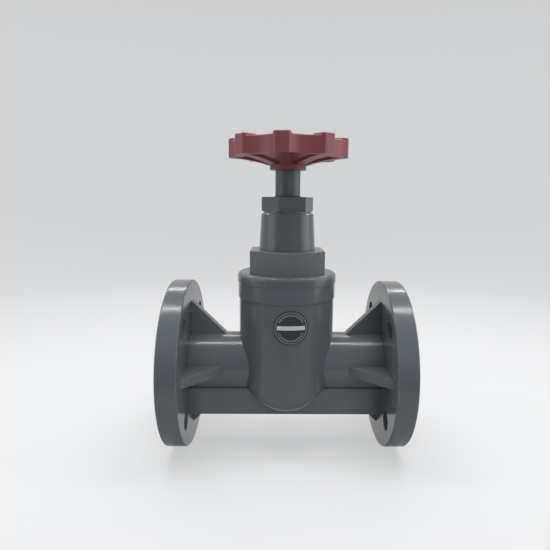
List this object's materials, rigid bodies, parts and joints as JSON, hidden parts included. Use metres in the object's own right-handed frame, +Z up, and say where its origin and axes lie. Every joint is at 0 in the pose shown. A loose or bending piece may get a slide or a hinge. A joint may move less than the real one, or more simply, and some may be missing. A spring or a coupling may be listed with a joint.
{
  "type": "flanged gate valve",
  "caption": "Flanged plastic gate valve with a round chamber, hexagonal bonnet, tapered stem turret, gland nut and lobed red handwheel.",
  "frame": {"origin": "where the flow axis crosses the stem axis", "axes": "+X along the flow bore, +Z up the stem towards the handwheel, -Y the labelled front"},
  "size_m": [0.23, 0.167, 0.3066],
  "materials": {
    "body_pvc": "semi-gloss moulded dark grey PVC",
    "bonnet_pvc": "semi-gloss moulded dark grey PVC",
    "gland_pvc": "semi-gloss moulded dark grey PVC",
    "stem_pvc": "turned dark grey PVC",
    "gate_pvc": "moulded dark grey PVC",
    "seat_ptfe": "white PTFE",
    "seal_rubber": "black EPDM",
    "bearing_plastic": "natural acetal",
    "nut_brass": "machined",
    "wheel_red": "moulded red ABS",
    "cap_red": "moulded red plastic",
    "screw_steel": "stainless",
    "label": null
  },
  "bodies": {
    "root": {"valve_body": "body_pvc", "seat_ring_left": "seat_ptfe", "seat_ring_right": "seat_ptfe", "seat_o_ring_left": "seal_rubber", "seat_o_ring_right": "seal_rubber", "bonnet": "bonnet_pvc", "bonnet_gasket": "seal_rubber", "stem_bush": "bearing_plastic", "thrust_washer_lower": "bearing_plastic", "thrust_washer_upper": "bearing_plastic", "seal_carrier": "bearing_plastic", "stem_o_ring_lower": "seal_rubber", "stem_o_ring_upper": "seal_rubber", "carrier_o_ring": "seal_rubber", "gland_nut": "gland_pvc", "stem_wiper": "seal_rubber", "label_disc": "label"},
    "stem": {"stem": "stem_pvc", "handwheel": "wheel_red", "handwheel_washer": "screw_steel", "handwheel_screw": "screw_steel", "handwheel_cap": "cap_red"},
    "gate": {"gate": "gate_pvc", "gate_nut": "nut_brass", "gate_nut_cap": "gate_pvc"}
  },
  "joints": [
    {"name": "handwheel_turn", "type": "hinge", "parent": "root", "child": "stem", "pos_m": [0, 0, 0.15], "axis": [0, 0, -1], "range_deg": [0, 2475]},
    {"name": "gate_slide", "type": "slide", "parent": "root", "child": "gate", "axis": [0, 0, -1], "range_m": [0, 0.0555]}
  ],
  "couplings": [
    {"joint": "gate_slide", "follows": "handwheel_turn", "m_per_rad": 0.0012732}
  ]
}
